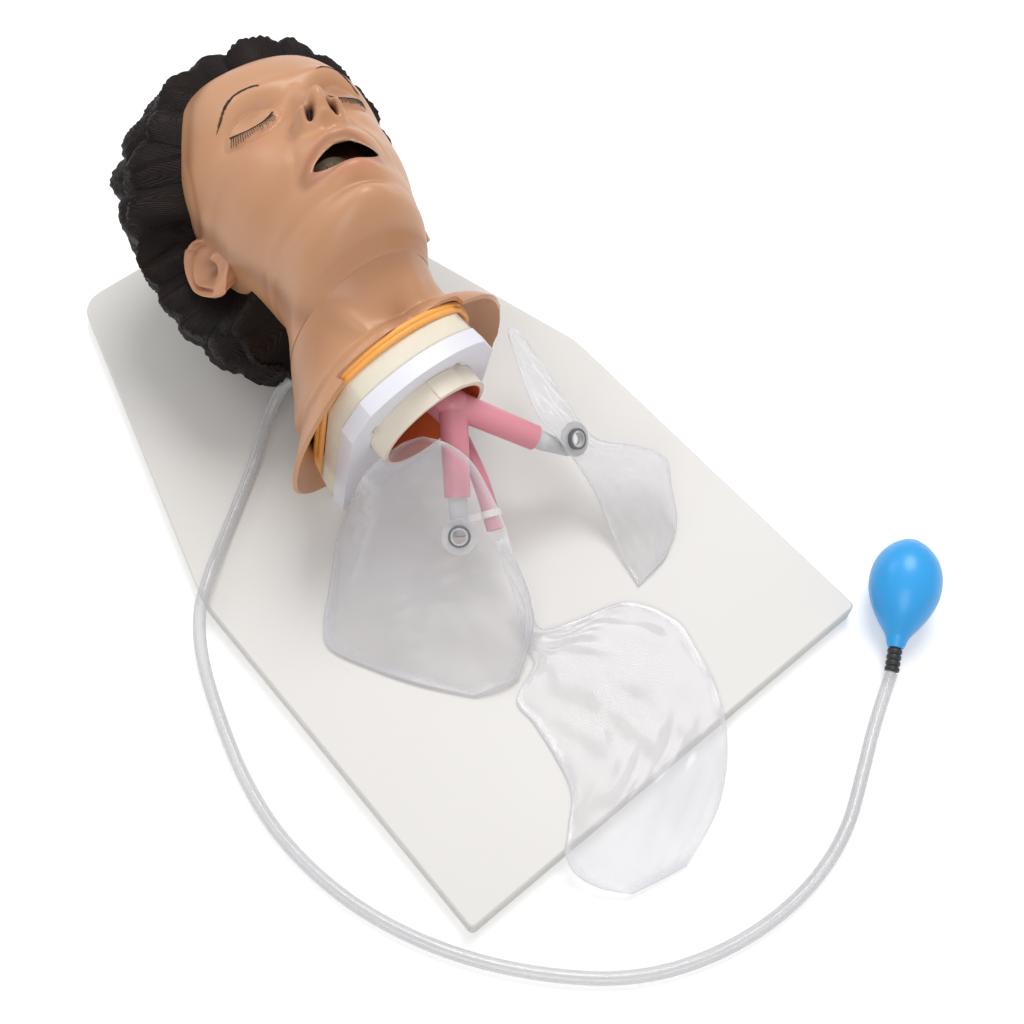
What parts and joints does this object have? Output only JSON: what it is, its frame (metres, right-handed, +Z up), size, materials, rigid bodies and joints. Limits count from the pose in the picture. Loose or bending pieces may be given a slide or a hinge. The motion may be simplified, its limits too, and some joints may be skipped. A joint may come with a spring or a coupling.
{
  "type": "airway management trainer",
  "caption": "Airway management trainer: a mannequin head and neck on a white board, with open airways, clear lung bags, a stomach bag and a blue pulse bulb",
  "frame": {"origin": "Centre of the flat underside of the base board", "axes": "+X is the figure's left, +Y runs from the board's foot edge towards the crown of the head, +Z is up"},
  "size_m": [0.4801, 0.7037, 0.2565],
  "materials": {
    "board_white": "satin",
    "plate_white": "semi-gloss",
    "steel": "brushed",
    "collar_foam": "matt",
    "gasket_orange": "matt",
    "sleeve_white": "semi-gloss",
    "skin_vinyl": "satin",
    "core_plastic": "matt",
    "hair_dark": "satin",
    "tooth_ivory": "gloss",
    "mouth_red": "satin",
    "jaw_plastic": "matt",
    "tongue_pink": "satin",
    "airway_pink": "satin",
    "esophagus_rose": "satin",
    "clip_white": "matt",
    "fitting_frost": "frosted",
    "port_clear": "clear",
    "ring_grey": "matt",
    "bag_film": "clear soft film",
    "grommet_grey": "matt",
    "bladder_white": "matt",
    "tube_clear": "translucent",
    "connector_black": "matt",
    "bulb_blue": "satin"
  },
  "bodies": {
    "base": {"base_board": "board_white", "neck_plate": "plate_white", "plate_screws": "steel", "neck_collar": "collar_foam", "neck_gasket": "gasket_orange", "airway_sleeve": "sleeve_white", "larynx": "airway_pink", "epiglottis": "airway_pink", "trachea_and_bronchi": "airway_pink", "esophagus": "esophagus_rose", "esophagus_clip": "clip_white", "bronchus_fitting_left": "fitting_frost", "bronchus_fitting_right": "fitting_frost", "lung_port_left": "port_clear", "lung_port_right": "port_clear", "port_ring_left": "ring_grey", "port_ring_right": "ring_grey", "lung_left": "bag_film", "lung_right": "bag_film", "stomach_bag": "bag_film", "tube_grommet": "grommet_grey", "pulse_bladder": "bladder_white", "pulse_tube": "tube_clear", "tube_connector": "connector_black", "squeeze_bulb": "bulb_blue"},
    "head": {"head_skin": "skin_vinyl", "head_core": "core_plastic", "hair": "hair_dark", "jaw_pins": "steel", "upper_teeth": "tooth_ivory", "palate": "mouth_red", "pharynx": "mouth_red"},
    "lower_jaw": {"jaw": "jaw_plastic", "lower_teeth": "tooth_ivory", "tongue": "tongue_pink"}
  },
  "joints": [
    {"name": "head_tilt", "type": "hinge", "parent": "base", "child": "head", "pos_m": [0.003, 0.04, 0.138], "axis": [1, 0, 0], "range_deg": [0, 20], "deforming": ["head_skin", "pharynx"]},
    {"name": "jaw_hinge", "type": "hinge", "parent": "head", "child": "lower_jaw", "pos_m": [0.03148, 0.14489, 0.14543], "axis": [-0.9614, 0.2409, 0.133], "range_deg": [0, 6], "deforming": ["head_skin"]}
  ]
}
